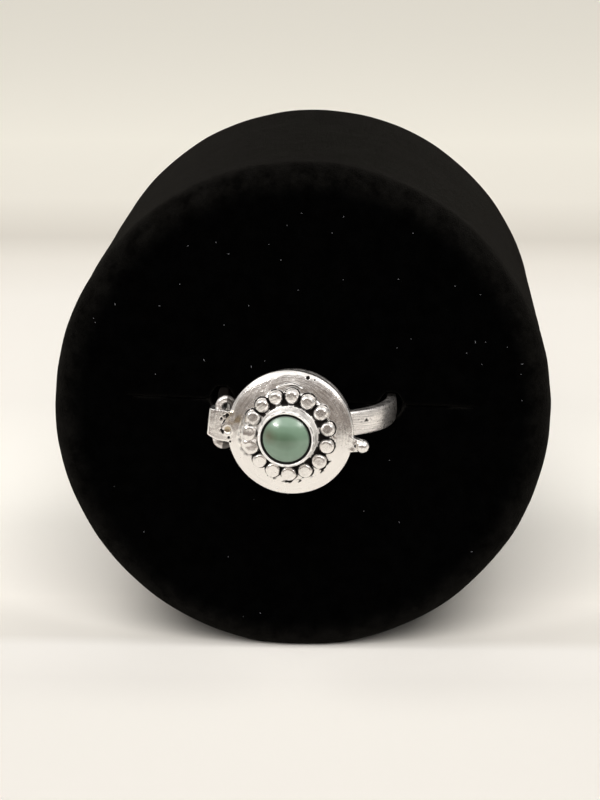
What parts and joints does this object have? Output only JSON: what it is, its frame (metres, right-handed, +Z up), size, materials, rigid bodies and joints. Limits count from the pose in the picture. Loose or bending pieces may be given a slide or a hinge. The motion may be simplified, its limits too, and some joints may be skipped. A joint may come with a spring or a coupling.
{
  "type": "poison ring on a display roll",
  "caption": "Silver finger ring with a round hinged box, granules and a green cabochon on its lid, held in the slit of a black velvet display roll.",
  "frame": {"origin": "middle of the flattened stretch on which the display roll rests", "axes": "+Z up; the roll lies along Y with its face and the head of the ring towards -Y; +X to the right as seen from the front"},
  "size_m": [0.06, 0.0735, 0.0597],
  "materials": {
    "silver": "polished silver with fine scratches",
    "lid_silver": "worn satin silver, dark in the hollows",
    "green_stone": "polished",
    "black_velvet": "velvet pile"
  },
  "bodies": {
    "ring_and_roll": {"ring_body": "silver", "display_roll": "black_velvet"},
    "lid": {"lid": "lid_silver", "stone": "green_stone"}
  },
  "joints": [
    {"name": "lid_hinge", "type": "hinge", "parent": "ring_and_roll", "child": "lid", "pos_m": [-0.00922, -0.03943, 0.03154], "axis": [-0.1039, 0.0116, -0.9945], "range_deg": [0, 110]}
  ]
}
